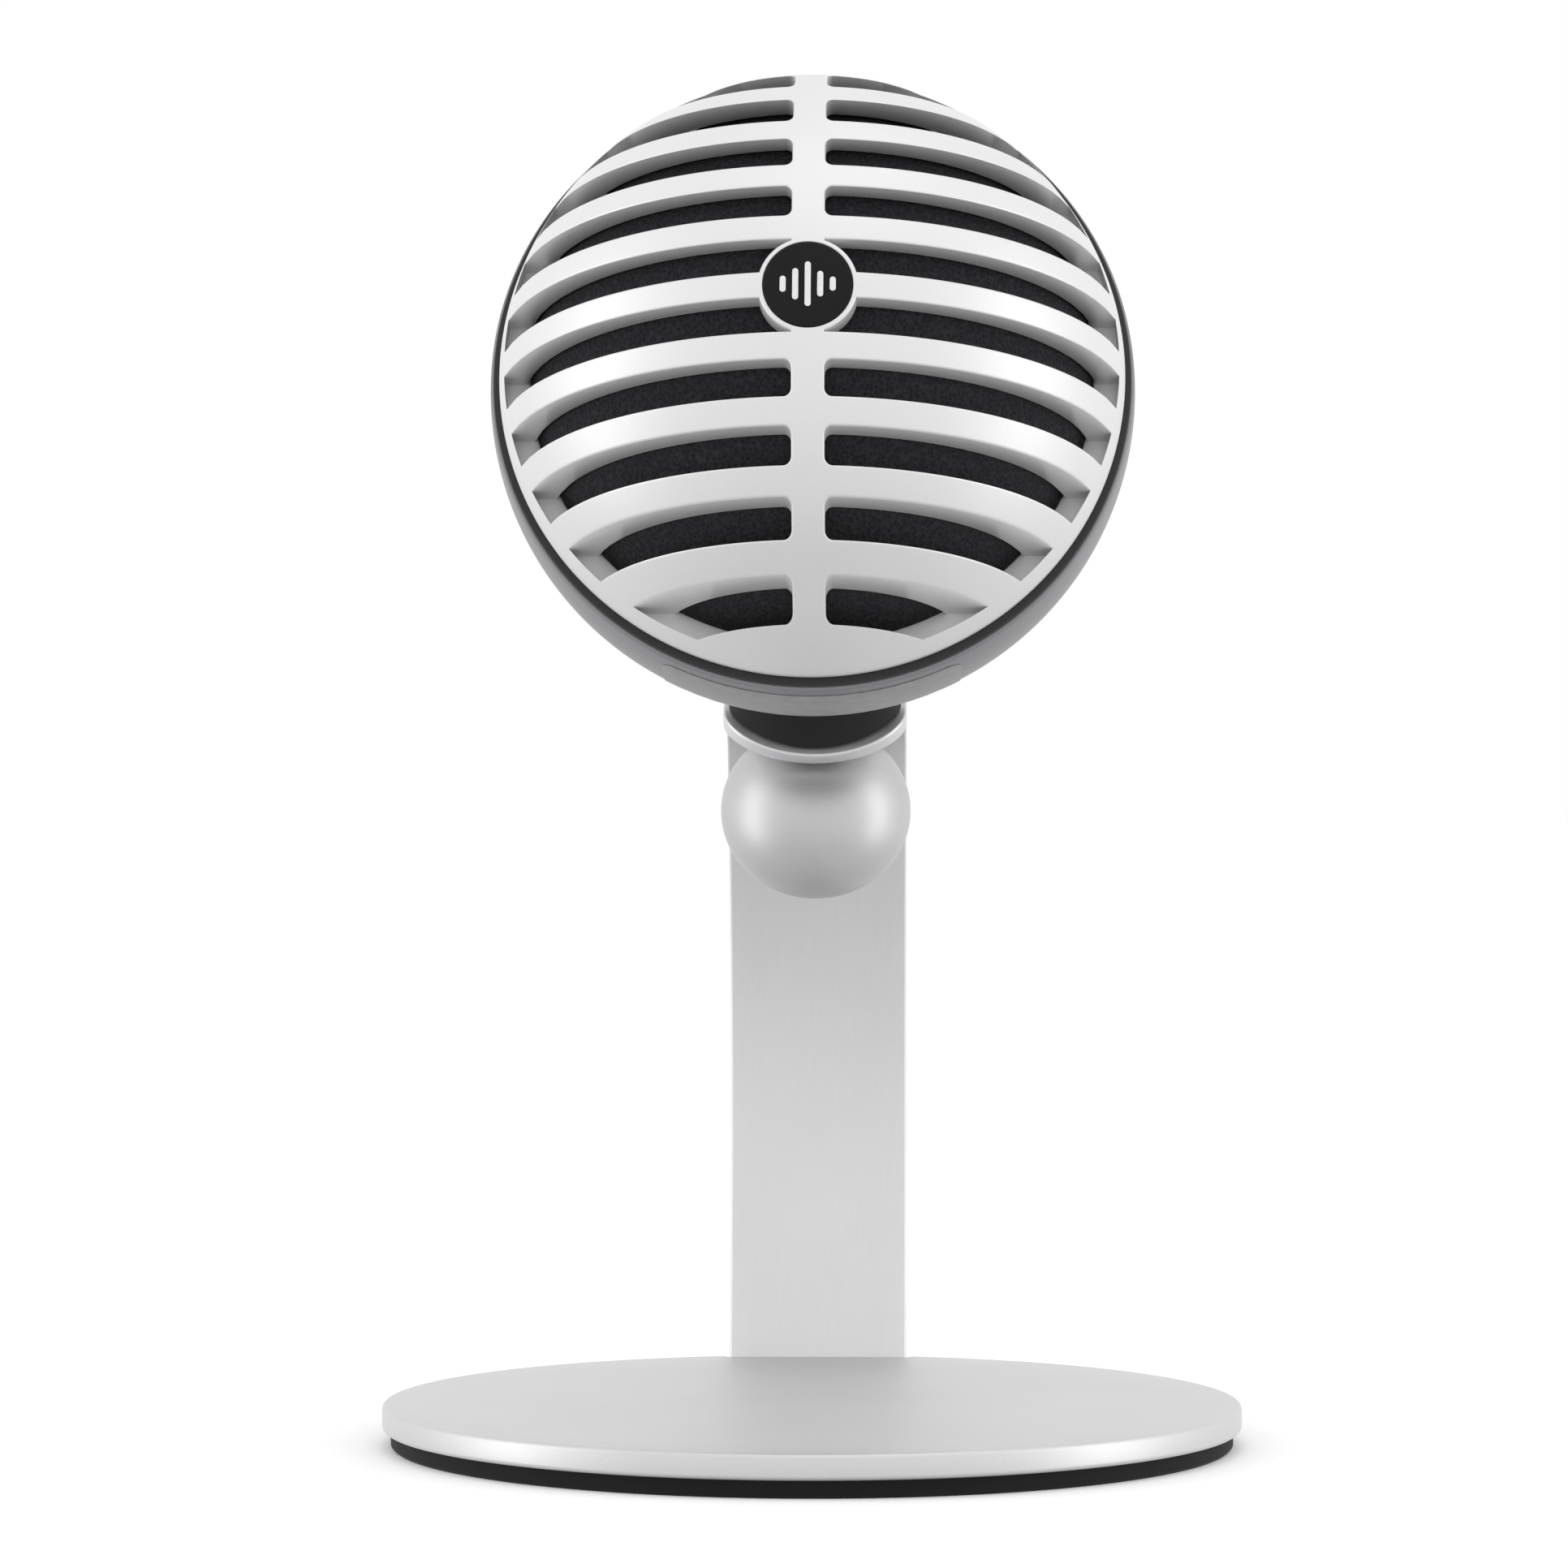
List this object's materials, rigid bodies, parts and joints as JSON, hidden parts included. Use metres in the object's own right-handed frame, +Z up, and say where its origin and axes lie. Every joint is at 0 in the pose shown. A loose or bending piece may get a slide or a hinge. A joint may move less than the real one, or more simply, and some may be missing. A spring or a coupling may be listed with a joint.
{
  "type": "desktop microphone",
  "caption": "Ball-shaped desktop microphone with a slotted front dome, tilting on a bent flat steel arm over a round weighted base, held by a ball knob.",
  "frame": {"origin": "centre of the rubber pad's underside, on the surface the microphone stands on", "axes": "+Z up, the microphone faces -Y, +X to its left as it faces the speaker"},
  "size_m": [0.089, 0.0958, 0.1429],
  "materials": {
    "silver_shell": "satin silver",
    "satin_steel": "fine satin",
    "steel_screw": "plain",
    "black_rubber": "matt",
    "black_foam": "open-cell foam",
    "black_plastic": "fine grain",
    "dark_ring": "satin dark grey",
    "badge_black": "gloss",
    "badge_silver": "bright",
    "nylon": "natural grey nylon",
    "brass_insert": "machined",
    "label_paper": "printed film, left blank",
    "frame_plastic": "moulded",
    "capsule_metal": "plain",
    "board_green": "solder mask",
    "chip_black": "moulded",
    "header_plastic": "moulded",
    "cable_grey": "flat cable",
    "lead_red": "wire insulation",
    "socket_metal": "plated",
    "jack_black": "moulded",
    "clear_pipe": "clear",
    "button_silver": "satin"
  },
  "bodies": {
    "stand": {"base_disc": "satin_steel", "base_pad": "black_rubber", "stand_arm": "satin_steel", "arm_screws": "steel_screw"},
    "knob": {"ball_knob": "satin_steel", "knob_stud": "steel_screw"},
    "volume_wheel": {"volume_wheel": "black_plastic"},
    "mode_button": {"mode_button": "button_silver"},
    "mute_button": {"mute_button": "button_silver"},
    "head": {"saddle_washer": "nylon", "grille_dome": "silver_shell", "badge_disc": "badge_black", "badge_bars": "badge_silver", "grille_foam": "black_foam", "trim_ring": "dark_ring", "rear_housing": "silver_shell", "head_foot": "black_plastic", "thread_insert": "brass_insert", "info_label": "label_paper", "inner_frame": "frame_plastic", "frame_screws": "steel_screw", "capsule_holder": "black_rubber", "capsule": "capsule_metal", "capsule_mesh": "capsule_metal", "capsule_leads": "lead_red", "main_board": "board_green", "board_screws": "steel_screw", "board_chips": "chip_black", "board_headers": "header_plastic", "board_cable": "cable_grey", "back_panel": "black_plastic", "panel_screws": "steel_screw", "io_board": "board_green", "io_screws": "steel_screw", "tact_switches": "chip_black", "usb_socket": "socket_metal", "jack_socket": "jack_black", "led_pipes": "clear_pipe", "wheel_bracket": "chip_black", "wheel_axle": "steel_screw"}
  },
  "joints": [
    {"name": "head_tilt", "type": "hinge", "parent": "stand", "child": "head", "pos_m": [0, 0.028, 0.0655], "axis": [-1, 0, 0], "range_deg": [-4, 40]},
    {"name": "knob_turn", "type": "hinge", "parent": "head", "child": "knob", "pos_m": [0, 0.028, 0.0655], "axis": [0, -0.4464, 0.8948], "continuous": true},
    {"name": "volume_turn", "type": "hinge", "parent": "head", "child": "volume_wheel", "pos_m": [0, 0.03001, 0.11364], "axis": [0, 0.2538, 0.9673], "range_deg": [-140, 140]},
    {"name": "mode_press", "type": "slide", "parent": "head", "child": "mode_button", "axis": [0, -0.9673, 0.2538], "range_m": [0, 0.0005], "stiffness_N_per_m": 300, "springref_m": -0.001},
    {"name": "mute_press", "type": "slide", "parent": "head", "child": "mute_button", "axis": [0, -0.9673, 0.2538], "range_m": [0, 0.0005], "stiffness_N_per_m": 300, "springref_m": -0.001}
  ]
}
